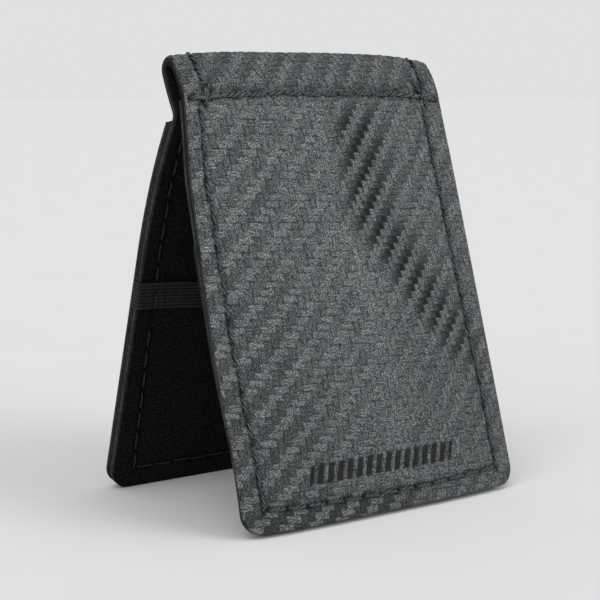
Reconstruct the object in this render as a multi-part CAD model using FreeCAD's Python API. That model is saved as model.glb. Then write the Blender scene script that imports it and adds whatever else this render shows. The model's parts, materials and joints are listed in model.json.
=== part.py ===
import FreeCAD, Part
import math
import os

"""Minimalist bifold wallet, standing on its two free edges as an upside-down V.

Millimetres and degrees. X runs along the fold, -Y is the front, +Z is up.
The origin is the middle of the bounding box's bottom face.

Every layer of the wallet follows one path in the YZ plane: the outer face of the shell, from the
front half's bottom edge, up over the hollow spine and down the rear half. A place on the path is a
station, its length from the front bottom edge. A depth is measured from the path towards the inside
of the fold, so layers outside the shell have negative depths.
"""

# --- outline -------------------------------------------------------------------------------------
BOTTOM_HALF_WIDTH = 36.0        # half the width at the two free edges
SPINE_HALF_WIDTH = 33.7         # half the width at the spine: the outline narrows towards it
CORNER_RADIUS = 4.2             # the four free corners

# --- the path of the shell's outer face ----------------------------------------------------------
FRONT_HEADING = 74.6            # direction of travel up the front half, from +Y towards +Z
FRONT_LENGTH = 87.4             # flat front half
LEAD_LENGTH, LEAD_TURN = 8.5, -28.0        # spine: the slow bend above the top stitch row
TOP_RADIUS, TOP_TURN = 2.7, -159.0         # spine: the tight bend at the very top
BACK_LENGTH, BACK_TURN = 8.4, -6.0         # spine: its back wall
NECK_LENGTH, NECK_TURN = 1.6, 57.0         # where the back wall pinches in and turns outwards
REAR_CURVE_LENGTH, REAR_CURVE_TURN = 30.0, -14.5   # upper part of the rear half

# --- layer thicknesses ---------------------------------------------------------------------------
SHELL = 1.1                     # embossed grip sheet
LINING = 0.7                    # suede that backs the whole shell
BASE_PANEL = 0.9                # front half, inside: backs the card pocket
CARD_POCKET = 0.9               # front half, inside: the pocket's face
REAR_POCKET = 0.9               # rear half, outside: each of two pocket faces
WALL = SHELL + LINING           # the spine's wall

FRONT_CARD_POCKET_HEIGHT = 58.0    # free mouth of the pocket inside the front half
REAR_UPPER_POCKET_DROP = 0.4       # mouth of the taller rear pocket, below the neck
REAR_LOWER_POCKET_HEIGHT = 82.4    # mouth of the shorter rear pocket, above the bottom edge

# --- the spine is flexible; it is cut into strips that turn on each other --------------------------
STRIP_ENDS = [2.5, 7.0, 9.7, 11.4, 13.2, 15.0]     # past the front half: hinges that open the spine
NECK_HINGE = 26.3                  # past the front half: where the rear half closes
SLIT = 0.1                         # clearance between neighbouring strips
SPINE_SEAM_END = 24.2              # past the front half: the side seams stop where the neck pinches in
CLOSING_ANGLE = 32.0               # from this stance until the free edges nearly meet

# --- elastic band across the inside of the rear half -----------------------------------------------
BAND_BOTTOM = 40.5                 # above the rear half's bottom edge
BAND_WIDTH = 5.9
BAND_THICKNESS = 0.6
BAND_FREE_HALF_LENGTH = 29.5       # the part between the two side seams lifts
BAND_CLEARANCE = 0.05
BAND_TUCK = 0.1                    # the wrapped ends stop this short of the shell's outer face
BAND_LIFT = 2.5                    # room for a few folded notes

# --- thread --------------------------------------------------------------------------------------
SEAM_MARGIN = 4.6                  # from the edge to the stitch line
REAR_SEAM_TOP_MARGIN = 2.6         # the rear half's seam runs out towards the edge as it rises
STITCH_PITCH = 4.6
STITCH_LENGTH = 3.4
STRIP_STITCH_SHARE = 0.6           # how much of a narrow strip its stitch takes
THREAD_WIDTH = 0.5
THREAD_HEIGHT = 0.25
THREAD_STANDOFF = 0.02             # keeps flat thread solids clear of curved leather
TOP_ROW_STATION = 87.0             # the horizontal row below the spine, from edge to edge
TOP_ROW_END = 0.9                  # the row starts and stops this close to the edges
TOP_ROW_MARGIN = 0.4               # the base panel reaches this far above the row that holds it
ROW_GAP = 2.5                      # side seams stop this far below the row
MOUTH_GAP = 1.0                    # seams stop this far below a pocket's mouth
CROSSING_GAP = 0.5                 # between the stitches on the lining and those on the elastic
NECK_GAP = 3.0                     # the rear seam stops this far below the neck
BACKTACK_STITCHES = 3              # sewn back beside each end of the row, to lock it
BACKTACK_OFFSET = 1.0
BACKTACK_START = 1.5               # closer to the edge than this the row is single
DENT_DEPTH = 0.3                   # the outer seams are pulled below the leather's surface
DENT_MARGIN = 0.2                  # a dent reaches this far round its stitch

FAR = 200.0                        # longer than anything in the wallet


# --- the path --------------------------------------------------------------------------------------

def advance(point, heading, length, turn):
    """The point and heading after travelling length while turning evenly by turn."""
    middle = math.radians(heading + turn / 2)
    half_turn = math.radians(turn / 2)
    chord = length if turn == 0 else length * math.sin(half_turn) / half_turn
    y, z = point
    return (y + chord * math.cos(middle), z + chord * math.sin(middle)), heading + turn


def inward(heading):
    """The (y, z) direction of growing depth."""
    angle = math.radians(heading)
    return math.sin(angle), -math.cos(angle)


def build_path():
    """List of (first station, length, start point, start heading, turn)."""
    runs = [
        (FRONT_LENGTH, 0.0),
        (LEAD_LENGTH, LEAD_TURN),
        (TOP_RADIUS * math.radians(-TOP_TURN), TOP_TURN),
        (BACK_LENGTH, BACK_TURN),
        (NECK_LENGTH, NECK_TURN),
        (REAR_CURVE_LENGTH, REAR_CURVE_TURN),
    ]
    path, station, point, heading = [], 0.0, (0.0, 0.0), FRONT_HEADING
    for length, turn in runs:
        path.append((station, length, point, heading, turn))
        point, heading = advance(point, heading, length, turn)
        station += length
    # the straight rear run ends where both halves' inner edges stand on one level
    front_foot = inward(FRONT_HEADING)[1] * (WALL + BASE_PANEL + CARD_POCKET)
    rear_end = front_foot - inward(heading)[1] * WALL
    length = (rear_end - point[1]) / math.sin(math.radians(heading))
    path.append((station, length, point, heading, 0.0))
    return path


PATH = build_path()
SPINE_START = FRONT_LENGTH
REAR_START = SPINE_START + NECK_HINGE
PATH_END = PATH[-1][0] + PATH[-1][1]
REAR_HEADING = PATH[-1][3]


def place(station, depth=0.0):
    """((y, z), heading) at a station and depth."""
    run = [r for r in PATH if r[0] <= station + 1e-9][-1]
    first, length, point, heading, turn = run
    part = station - first
    (y, z), here = advance(point, heading, part, turn * part / length)
    dy, dz = inward(here)
    return (y + depth * dy, z + depth * dz), here


def at(x, station, depth=0.0):
    (y, z), _ = place(station, depth)
    return FreeCAD.Vector(x, y, z)


# --- shapes that follow the path -------------------------------------------------------------------

def path_edges(first, last, depth, x):
    """Lines and arcs along the path from one station to another."""
    edges = []
    for start, length, _, _, turn in PATH:
        a, b = max(first, start), min(last, start + length)
        if b - a < 1e-6:
            continue
        if turn == 0:
            edges.append(Part.LineSegment(at(x, a, depth), at(x, b, depth)).toShape())
        else:
            edges.append(Part.Arc(at(x, a, depth), at(x, (a + b) / 2, depth), at(x, b, depth)).toShape())
    return edges


def layer(first, last, outer, inner, right, left=None):
    """A sheet between two stations and two depths, from x = left to x = right; centred without left."""
    x = -right if left is None else left
    edges = path_edges(first, last, outer, x)
    edges.append(Part.LineSegment(at(x, last, outer), at(x, last, inner)).toShape())
    edges += path_edges(first, last, inner, x)
    edges.append(Part.LineSegment(at(x, first, inner), at(x, first, outer)).toShape())
    wire = Part.Wire(Part.__sortEdges__(edges))
    return Part.Face(wire).extrude(FreeCAD.Vector(right - x, 0, 0))


def half_outline(foot_station, up_heading, length):
    """A prism with a half's outline: tapered sides and two round free corners."""
    angle = math.radians(up_heading)
    up = FreeCAD.Vector(0, math.cos(angle), math.sin(angle))
    across = FreeCAD.Vector(0, -up.z, up.y)
    foot = at(0, foot_station) - across * FAR / 2
    x = FreeCAD.Vector(1, 0, 0)
    corners = [
        foot - x * BOTTOM_HALF_WIDTH,
        foot + x * BOTTOM_HALF_WIDTH,
        foot + x * SPINE_HALF_WIDTH + up * length,
        foot - x * SPINE_HALF_WIDTH + up * length,
    ]
    prism = Part.Face(Part.makePolygon(corners + corners[:1])).extrude(across * FAR)
    foot_edges = []
    for edge in prism.Edges:
        ends = [v.Point - foot for v in edge.Vertexes]
        if all(abs(e.dot(up)) < 1e-6 for e in ends) and abs(ends[0].x - ends[1].x) < 1e-6:
            foot_edges.append(edge)
    return prism.makeFillet(CORNER_RADIUS, foot_edges)


def half_width_at(height, length):
    """The outline's half width at a height above a half's free edge."""
    return BOTTOM_HALF_WIDTH + (SPINE_HALF_WIDTH - BOTTOM_HALF_WIDTH) * height / length


# --- thread ----------------------------------------------------------------------------------------

def bar(x, station, across, depth, side, size, standoff=0.0):
    """A bar on a surface. across is its run as (dx, dstation), side +1 points inwards, and size is
    its length, width and height."""
    length, width, height = size
    _, heading = place(station, depth)
    angle = math.radians(heading)
    along_path = FreeCAD.Vector(0, math.cos(angle), math.sin(angle))
    dy, dz = inward(heading)
    off = FreeCAD.Vector(0, dy, dz) * side
    run = FreeCAD.Vector(1, 0, 0) * across[0] + along_path * across[1]
    run.normalize()
    wide = run.cross(off)
    start = at(x, station, depth) + off * standoff - run * (length / 2) - wide * (width / 2)
    corners = [start, start + run * length, start + run * length + wide * width, start + wide * width]
    return Part.Face(Part.makePolygon(corners + corners[:1])).extrude(off * height)


def row(start, end):
    """Evenly spaced places for stitches between two (x, station) points."""
    dx, ds = end[0] - start[0], end[1] - start[1]
    count = int(math.hypot(dx, ds) / STITCH_PITCH)
    places = []
    for i in range(count):
        share = (i + 0.5) / count
        places.append((start[0] + dx * share, start[1] + ds * share, (dx, ds), STITCH_LENGTH))
    return places


def half_seam(foot_station, direction, length, seam_top, top_margin=SEAM_MARGIN):
    """Places for both sides and the bottom of a half's perimeter seam."""
    foot = foot_station + direction * SEAM_MARGIN
    top = foot_station + direction * seam_top
    bottom_x = half_width_at(SEAM_MARGIN, length) - SEAM_MARGIN
    top_x = half_width_at(seam_top, length) - top_margin
    places = []
    for mirror in (-1, 1):
        places += row((mirror * bottom_x, foot), (mirror * top_x, top))
    inset = STITCH_LENGTH / 2
    return places + row((inset - bottom_x, foot), (bottom_x - inset, foot))


def stitches(places, depth, side):
    """Stitches on a surface, as separate bars."""
    bars = []
    for x, station, across, length in places:
        size = (length, THREAD_WIDTH, THREAD_HEIGHT)
        bars.append(bar(x, station, across, depth, side, size, THREAD_STANDOFF))
    return bars


def sunk_stitches(places, face):
    """Stitches that lie in dents in an outer layer, just below its face."""
    return stitches(places, face + DENT_DEPTH, -1)


def dented(layer_shape, places, face):
    """An outer layer with a dent for each stitch of a seam."""
    dents = []
    for x, station, across, length in places:
        size = (length + 2 * DENT_MARGIN, THREAD_WIDTH + 2 * DENT_MARGIN, 2 * DENT_DEPTH)
        dents.append(bar(x, station, across, face + DENT_DEPTH, -1, size))
    return layer_shape.cut(dents)


# --- sub-parts -------------------------------------------------------------------------------------

def front_half():
    """Shell, lining, base panel and card pocket, with their seams."""
    spine_cut = SPINE_START + STRIP_ENDS[0] - SLIT / 2
    outline = half_outline(0.0, FRONT_HEADING, FRONT_LENGTH)
    base_inner = WALL + BASE_PANEL
    pocket_inner = base_inner + CARD_POCKET
    panel_top = TOP_ROW_STATION + TOP_ROW_MARGIN
    nodes = {}

    def trimmed(first, last, outer, inner):
        return layer(first, last, outer, inner, BOTTOM_HALF_WIDTH).common(outline)

    def tail(outer, inner):
        return layer(FRONT_LENGTH, spine_cut, outer, inner, SPINE_HALF_WIDTH)

    seam_top = TOP_ROW_STATION - ROW_GAP
    outer_seam = half_seam(0.0, 1, FRONT_LENGTH, seam_top)
    # inside, the seam is on the pocket's face and stops at its mouth
    pocket_seam = half_seam(0.0, 1, FRONT_LENGTH, FRONT_CARD_POCKET_HEIGHT - MOUTH_GAP)
    row_x = SPINE_HALF_WIDTH - TOP_ROW_END
    top_row = row((-row_x, TOP_ROW_STATION), (row_x, TOP_ROW_STATION))
    tack_station = TOP_ROW_STATION - BACKTACK_OFFSET
    tack_end = row_x - BACKTACK_START
    tack_start = tack_end - BACKTACK_STITCHES * STITCH_PITCH
    tacks = {
        "left_backtack": row((-tack_end, tack_station), (-tack_start, tack_station)),
        "right_backtack": row((tack_start, tack_station), (tack_end, tack_station)),
    }

    shell = trimmed(0, FRONT_LENGTH, 0, SHELL).fuse(tail(0, SHELL)).removeSplitter()
    for places in (outer_seam, top_row, *tacks.values()):
        shell = dented(shell, places, 0)
    nodes["front_shell"] = shell
    nodes["front_lining"] = trimmed(0, FRONT_LENGTH, SHELL, WALL).fuse(tail(SHELL, WALL)).removeSplitter()
    nodes["front_base_panel"] = trimmed(0, panel_top, WALL, base_inner)
    nodes["front_card_pocket"] = trimmed(0, FRONT_CARD_POCKET_HEIGHT, base_inner, pocket_inner)
    nodes["front_outer_stitches"] = Part.makeCompound(sunk_stitches(outer_seam, 0))
    nodes["top_row_stitches"] = Part.makeCompound(sunk_stitches(top_row, 0))
    for name, places in tacks.items():
        nodes[name] = Part.makeCompound(sunk_stitches(places, 0))
    nodes["front_pocket_stitches"] = Part.makeCompound(stitches(pocket_seam, pocket_inner, 1))
    return nodes


def spine_strips():
    """The spine's shell, lining and side stitches, one set for each strip."""
    cuts = STRIP_ENDS + [NECK_HINGE]
    nodes = {}
    for number in range(1, len(cuts)):
        first = SPINE_START + cuts[number - 1] + SLIT / 2
        last = SPINE_START + cuts[number] - SLIT / 2
        nodes[f"spine_shell_{number}"] = layer(first, last, 0, SHELL, SPINE_HALF_WIDTH)
        nodes[f"spine_lining_{number}"] = layer(first, last, SHELL, WALL, SPINE_HALF_WIDTH)
        seam_last = min(last, SPINE_START + SPINE_SEAM_END)
        nodes[f"spine_stitches_{number}"] = side_stitches(first, seam_last)
    return nodes


def side_stitches(first, last):
    """Both side seams along one strip of the spine."""
    count = max(1, int((last - first) / STITCH_PITCH))
    share = (last - first) / count
    length = min(STITCH_LENGTH, STRIP_STITCH_SHARE * share)
    places = []
    for x in (SEAM_MARGIN - SPINE_HALF_WIDTH, SPINE_HALF_WIDTH - SEAM_MARGIN):
        places += [(x, first + share * (k + 0.5), (0, 1), length) for k in range(count)]
    return Part.makeCompound(stitches(places, 0, -1))


def rear_half():
    """Lining, shell, two outside pockets and their seams."""
    first = REAR_START + SLIT / 2
    height = PATH_END - REAR_START
    outline = half_outline(PATH_END, REAR_HEADING + 180, height)
    pocket_one = -REAR_POCKET
    pocket_two = -2 * REAR_POCKET

    def trimmed(start, outer, inner):
        return layer(start, PATH_END, outer, inner, BOTTOM_HALF_WIDTH).common(outline)

    outer_seam = half_seam(PATH_END, -1, height, REAR_LOWER_POCKET_HEIGHT - MOUTH_GAP, REAR_SEAM_TOP_MARGIN)
    lower_pocket = trimmed(PATH_END - REAR_LOWER_POCKET_HEIGHT, pocket_two, pocket_one)
    return {
        "rear_shell": trimmed(first, 0, SHELL),
        "rear_lining": trimmed(first, SHELL, WALL),
        "rear_upper_pocket": trimmed(REAR_START + REAR_UPPER_POCKET_DROP, pocket_one, 0),
        "rear_lower_pocket": dented(lower_pocket, outer_seam, pocket_two),
        "rear_inner_stitches": rear_inner_seam(height),
        "rear_outer_stitches": Part.makeCompound(sunk_stitches(outer_seam, pocket_two)),
    }


def rear_margin(height_up, height):
    """From the rear half's edge to its seam, at a height above the free edge."""
    return SEAM_MARGIN + (REAR_SEAM_TOP_MARGIN - SEAM_MARGIN) * height_up / height


def rear_inner_seam(height):
    """The seam that shows on the lining; where it crosses the elastic it sits on the elastic."""
    seam = []
    band_top = BAND_BOTTOM + BAND_WIDTH
    for low, high, depth in (
        (SEAM_MARGIN, BAND_BOTTOM - CROSSING_GAP, WALL),
        (BAND_BOTTOM, band_top, WALL + BAND_THICKNESS),
        (band_top + CROSSING_GAP, height - NECK_GAP, WALL),
    ):
        for mirror in (-1, 1):
            low_x, high_x = (half_width_at(h, height) - rear_margin(h, height) for h in (low, high))
            places = row((mirror * low_x, PATH_END - low), (mirror * high_x, PATH_END - high))
            seam += stitches(places, depth, 1)
    inset = half_width_at(SEAM_MARGIN, height) - SEAM_MARGIN - STITCH_LENGTH / 2
    foot = PATH_END - SEAM_MARGIN
    seam += stitches(row((-inset, foot), (inset, foot)), WALL, 1)
    return Part.makeCompound(seam)


def elastic_band():
    """The free middle of the band, and an end at each side that wraps the lining and shell's edge."""
    height = PATH_END - REAR_START
    top = PATH_END - BAND_BOTTOM - BAND_WIDTH
    bottom = PATH_END - BAND_BOTTOM
    edge = half_width_at(BAND_BOTTOM, height)
    face = WALL + BAND_CLEARANCE
    inner = WALL + BAND_THICKNESS
    nodes = {"cash_band": layer(top, bottom, face, inner, BAND_FREE_HALF_LENGTH - BAND_CLEARANCE)}

    lap = layer(top, bottom, WALL, inner, edge + BAND_THICKNESS, left=BAND_FREE_HALF_LENGTH)
    wrap = layer(top, bottom, BAND_TUCK, WALL, edge + BAND_THICKNESS, left=edge)
    right = lap.fuse(wrap).removeSplitter()
    nodes["band_right_end"] = right
    nodes["band_left_end"] = right.mirror(FreeCAD.Vector(0, 0, 0), FreeCAD.Vector(1, 0, 0))
    return nodes


def standing_shift(shapes):
    """Moves the origin to the middle of the bounding box's bottom face."""
    box = Part.makeCompound(shapes).optimalBoundingBox(False, False)
    return FreeCAD.Vector(0, -(box.YMin + box.YMax) / 2, -box.ZMin)


def make_nodes():
    """Every sub-part in its place, and the shift that was applied to the path's own coordinates."""
    nodes = {**front_half(), **spine_strips(), **rear_half(), **elastic_band()}
    shift = standing_shift(list(nodes.values()))
    for shape in nodes.values():
        shape.translate(shift)
    return nodes, shift


def main():
    os.makedirs("parts", exist_ok=True)
    nodes, _ = make_nodes()
    for name, shape in nodes.items():
        shape.exportStep(f"parts/{name}.step")
        if not shape.isValid():
            print("invalid shape:", name)
    print(len(nodes), "sub-parts")


main()
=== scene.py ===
import json
import math

import bpy
import numpy as np
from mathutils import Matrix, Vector


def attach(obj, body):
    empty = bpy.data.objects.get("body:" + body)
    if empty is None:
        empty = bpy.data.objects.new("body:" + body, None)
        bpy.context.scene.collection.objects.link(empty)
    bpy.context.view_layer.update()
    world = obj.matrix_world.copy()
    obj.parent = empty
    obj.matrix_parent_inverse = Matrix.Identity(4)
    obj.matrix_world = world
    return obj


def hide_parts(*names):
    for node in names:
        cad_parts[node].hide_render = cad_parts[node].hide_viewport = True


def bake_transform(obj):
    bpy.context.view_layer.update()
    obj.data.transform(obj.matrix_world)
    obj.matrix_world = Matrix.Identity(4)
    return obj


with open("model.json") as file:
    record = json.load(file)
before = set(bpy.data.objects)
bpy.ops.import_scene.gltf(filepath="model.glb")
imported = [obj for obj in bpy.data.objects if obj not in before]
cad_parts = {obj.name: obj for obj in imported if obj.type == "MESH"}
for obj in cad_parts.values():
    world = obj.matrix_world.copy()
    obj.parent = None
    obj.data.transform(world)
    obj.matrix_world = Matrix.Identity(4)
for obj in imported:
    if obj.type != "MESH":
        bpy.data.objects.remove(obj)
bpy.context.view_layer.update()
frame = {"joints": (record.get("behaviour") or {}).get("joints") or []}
rng = np.random.default_rng(7)

MM = 0.001

# --- the wallet's section, the same as in the CAD (mm, degrees) ---
BOTTOM_HALF_WIDTH = 36.0
SPINE_HALF_WIDTH = 33.7
CORNER_RADIUS = 4.2
FRONT_HEADING = 74.6
FRONT_LENGTH = 87.4
RUNS_AFTER_FRONT = [  # (length, turn)
    (8.5, -28.0),  # slow bend above the top stitch row
    (2.7 * math.radians(159.0), -159.0),  # tight bend at the top
    (8.4, -6.0),  # back wall of the spine
    (1.6, 57.0),  # neck
    (30.0, -14.5),  # upper part of the rear half
]
SHELL = 1.1
LINING = 0.7
BASE_PANEL = 0.9
CARD_POCKET = 0.9
REAR_POCKET = 0.9
WALL = SHELL + LINING
STRIP_ENDS = [2.5, 7.0, 9.7, 11.4, 13.2, 15.0]  # spine joints, past the front half
NECK_HINGE = 26.3
SPINE_SEAM_END = 24.2
FRONT_CARD_POCKET_HEIGHT = 58.0
PANEL_TOP = 87.4
REAR_UPPER_POCKET_DROP = 0.4
REAR_LOWER_POCKET_HEIGHT = 82.4
BAND_BOTTOM = 40.5
BAND_WIDTH = 5.9
BAND_THICKNESS = 0.6
BAND_FREE_HALF_LENGTH = 29.5

# --- how the real thing has slackened ---
# a span is the four stations where something begins, is full, starts to fade and ends
CROWN = 0.55  # the soft spine stands proud in the middle
SHOULDER_DROPS = (0.5, 1.05)  # and sinks at its left and right ends
CROWN_SPAN = (66.0, 88.0, 104.0, 122.0)
BULGE = 1.6  # the foot of the front half bows outwards
BULGE_END = 66.0
LEFT_BOW = 1.2  # and its left edge bows to the left, half-way up
LEFT_BOW_SPAN = (8.0, 38.0, 68.0, 88.0)
LEFT_BOW_MARGIN = (12.0, 36.0)  # growing between these distances from the middle

# --- thread ---
SEAM_MARGIN = 4.6
REAR_SEAM_TOP_MARGIN = 2.6
STITCH_PITCH = 4.6
STITCH_LENGTH = 3.9
ROW_STITCH = 4.5  # the rows across are nearly continuous
TOP_ROW_STATION = 87.0
TOP_ROW_END = 0.9
ROW_GAP = 2.5
MOUTH_GAP = 1.0
NECK_GAP = 3.0
PLY_RADIUS = 0.18
PLY_OFFSET = 0.2
TWIST_LENGTH = 2.3
THREAD_RISE = 0.16  # how far a thread's middle stands above the leather
THREAD_DIVE = 0.45  # how far its ends sink into the holes
GROOVE_DEPTH, GROOVE_WIDTH = 0.26, 0.62
HOLE_DEPTH, HOLE_WIDTH = 0.42, 0.46
PUCKER_DEPTH, PUCKER_WIDTH = 0.1, 1.3
BACKTACK_STITCHES = 4  # sewn back over each end of the top row
BACKTACK_START, BACKTACK_PITCH = 2.6, 3.7
CROSSING_STITCHES = 4  # short ones where the row meets a side seam
CORNER_INSET = 0.75  # a half's bottom row starts this far inside its side seams
CORNER_OVERLAP = 0.9  # and the side seams start this far past it

# --- surface detail ---
TOW = 1.5  # width of one embossed tow; a float covers one tow by two
TOW_STRETCH = 0.0025  # tows grow wider towards the left
WARP_LEAN = 0.0016  # and curve to the left, the more so the further from WARP_FOOT
WARP_FOOT = 24.0
WEFT_SLOPE = 0.05  # weft tows fall a little to the right
EMBOSS = 0.2  # how far a float stands above its ends
FLOAT_LEAN = 0.2  # how far the far end of a leaning float sinks
DARK_BAND_X = 8.0  # middle of the slanting band of leaning floats, whose wefts are painted dark as lost sheen, near the spine
DARK_BAND_TURN = 61.0  # below this station it runs off to the right
DARK_BAND_SLANT = 0.62
DARK_BAND_WIDTHS = (7.5, 9.5)  # to its left and right
DARK_BAND_SPAN = (10.0, 40.0, 80.0, 90.0)
LEANING_SPINE_SPAN = (84.0, 90.0, 112.0, 116.0)
WARP_NOT_PAINTED_DARK_SPAN = (78.0, 88.0, 112.0, 116.0)
GRID = 0.275  # mesh spacing of the embossed sheet
SOFT_GRID = 0.45  # and of the smooth layers
CLOSEST_ROWS = 0.012  # mesh rows nearer than this become one
RELIEF_FADE = 0.5  # a layer's relief fades out this near a cut edge
BACK_COLUMNS = 15  # mesh columns on a layer's unseen side
RIM_STEPS = [0.0, 0.05, 0.13, 0.26, 0.45]  # mesh lines beside a cut edge
WALL_STEPS = [  # down a cut edge: (share of it, set back, darkness); the darkness is painted shade at its foot, where it meets the next layer, and dark bands higher up
    (0.12, 0.0, 0.5), (0.35, 0.0, 1.0), (0.6, 0.0, 0.0), (0.85, 0.04, 0.8), (1.0, 0.15, 1.0),
]
RIM_ROUNDING = 0.26
MARK_MIDDLE, MARK_SIZE = (-0.4, 9.8), (38.0, 4.2)  # a row of plain pressed blocks, low on the front
MARK_PITCH, MARK_BLOCK = 2.5, 1.8
MARK_SLANT = 0.35
MARK_DEPTH = 0.12
INSET_END = 70.0  # the front's inner layers are trimmed back below this station
OUTER_ZONE = 5.0  # the mesh columns follow the outline within this distance of it

SPINE_START = FRONT_LENGTH
REAR_START = SPINE_START + NECK_HINGE


# === the path: station along the shell's outer face, depth towards the inside of the fold ===

def build_path():
    """List of (first station, length, y, z, heading, turn)."""
    path = []
    station, y, z, heading = 0.0, 0.0, 0.0, FRONT_HEADING
    for length, turn in [(FRONT_LENGTH, 0.0)] + RUNS_AFTER_FRONT:
        path.append((station, length, y, z, heading, turn))
        half = math.radians(turn / 2)
        chord = length if turn == 0 else length * math.sin(half) / half
        y += chord * math.cos(math.radians(heading + turn / 2))
        z += chord * math.sin(math.radians(heading + turn / 2))
        heading += turn
        station += length
    front_foot = -math.cos(math.radians(FRONT_HEADING)) * (WALL + BASE_PANEL + CARD_POCKET)
    rear_end = front_foot + math.cos(math.radians(heading)) * WALL
    path.append((station, (rear_end - z) / math.sin(math.radians(heading)), y, z, heading, 0.0))
    return path


PATH = build_path()
PATH_END = PATH[-1][0] + PATH[-1][1]
REAR_HEIGHT = PATH_END - REAR_START


def on_path(station, depth):
    """(y, z) in path coordinates, mm, for arrays or numbers."""
    s = np.asarray(station, float)
    y, z, heading = np.zeros_like(s), np.zeros_like(s), np.zeros_like(s)
    for first, length, y0, z0, h0, turn in PATH:
        here = (s >= first - 1e-9) | (first == 0)
        part = s - first
        bend = turn * part / length
        chord = part * np.sinc(np.radians(bend / 2) / np.pi)
        middle = np.radians(h0 + bend / 2)
        y = np.where(here, y0 + chord * np.cos(middle), y)
        z = np.where(here, z0 + chord * np.sin(middle), z)
        heading = np.where(here, h0 + bend, heading)
    angle = np.radians(heading)
    return y + depth * np.sin(angle), z - depth * np.cos(angle)


spine_joints = [joint for joint in frame["joints"] if joint["name"].startswith("spine_bend_")]
hinges = [np.array(joint["pos_m"]) for joint in sorted(spine_joints, key=lambda joint: joint["name"])]
# the first spine hinge lies on the path, which gives the shift from path to row frame
hinge_y, hinge_z = on_path(SPINE_START + STRIP_ENDS[0], 0.0)
SHIFT_Y = hinges[0][1] / MM - float(hinge_y)
SHIFT_Z = hinges[0][2] / MM - float(hinge_z)


def smooth(value, low, high):
    """0 below low, 1 above high, and a smooth step between."""
    t = np.clip((value - low) / (high - low), 0, 1)
    return t * t * (3 - 2 * t)


def within(value, span):
    """1 in the middle of a span, falling smoothly to 0 at its two ends."""
    return smooth(value, span[0], span[1]) * (1 - smooth(value, span[2], span[3]))


def bowing(x, station):
    """How far the soft spine stands above its straight line, and sinks below it at its two ends."""
    on_spine = within(np.asarray(station, float), CROWN_SPAN)
    drop = np.where(np.asarray(x) < 0, *SHOULDER_DROPS)
    return on_spine * (CROWN - (CROWN + drop) * np.abs(np.asarray(x) / SPINE_HALF_WIDTH) ** 4)


def bulging(x, station):
    """How far the front half stands out, most in the middle of its foot."""
    across = 1 - np.abs(np.asarray(x) / BOTTOM_HALF_WIDTH).clip(0, 1) ** 4
    return BULGE * across * (1 - smooth(np.asarray(station, float), 0.0, BULGE_END))


def pulled_left(x, station):
    """How far the front half's left margin is pulled outwards."""
    half_way_up = within(np.asarray(station, float), LEFT_BOW_SPAN)
    return LEFT_BOW * smooth(-np.asarray(x), *LEFT_BOW_MARGIN) * half_way_up


def place(x, station, depth):
    """Row-frame points in metres for x, station and depth in mm."""
    y, z = on_path(station, depth)
    x = x - pulled_left(x, station)
    y = y + SHIFT_Y - bulging(x, station)
    return np.stack(np.broadcast_arrays(x, y, z + SHIFT_Z + bowing(x, station)), -1) * MM


def straight_half_width(station):
    """Half the width at a station, as if the free corners were square."""
    s = np.asarray(station, float)
    taper = SPINE_HALF_WIDTH - BOTTOM_HALF_WIDTH
    front = BOTTOM_HALF_WIDTH + taper * s / FRONT_LENGTH
    rear = BOTTOM_HALF_WIDTH + taper * (PATH_END - s) / REAR_HEIGHT
    return np.where(s < FRONT_LENGTH, front, np.where(s > REAR_START, rear, SPINE_HALF_WIDTH))


def half_width(station):
    """Half the outline's width at a station, with the round free corners."""
    foot = np.clip(np.minimum(station, PATH_END - np.asarray(station, float)), 0, CORNER_RADIUS)
    low = CORNER_RADIUS - foot
    return straight_half_width(station) - CORNER_RADIUS + np.sqrt(CORNER_RADIUS ** 2 - low ** 2)


def edge_distance(x, station, ends):
    """Distance to the nearest cut edge; ends are the stations of the piece's free ends."""
    s = np.asarray(station, float)
    to_side = half_width(s) - np.abs(x)
    distance = to_side
    for end in ends:
        distance = np.minimum(distance, np.abs(s - end))
    foot = np.minimum(s, PATH_END - s)
    past_x = np.abs(x) - (straight_half_width(s) - CORNER_RADIUS)
    past_z = CORNER_RADIUS - foot
    corner = CORNER_RADIUS - np.hypot(past_x, past_z)
    return np.where((past_x > 0) & (past_z > 0), np.minimum(distance, corner), distance).clip(0)


# === seams: each stitch is (x, station, run x, run station, length) ===

def row(start, end, length=STITCH_LENGTH):
    """Evenly spaced stitches between two (x, station) points, each a little off true."""
    run = np.subtract(end, start)
    count = int(np.hypot(*run) / STITCH_PITCH)
    run = run / np.hypot(*run)
    stitches = []
    for i in range(count):
        share = (i + 0.5) / count
        x, s = np.add(start, np.subtract(end, start) * share) + rng.normal(0, 0.07, 2)
        lean = rng.normal(0, 0.025)
        own_length = length * rng.uniform(0.94, 1.05)
        stitches.append((x, s, run[0] - run[1] * lean, run[1] + run[0] * lean, own_length))
    return stitches


SPINE_X = SPINE_HALF_WIDTH - SEAM_MARGIN


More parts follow.
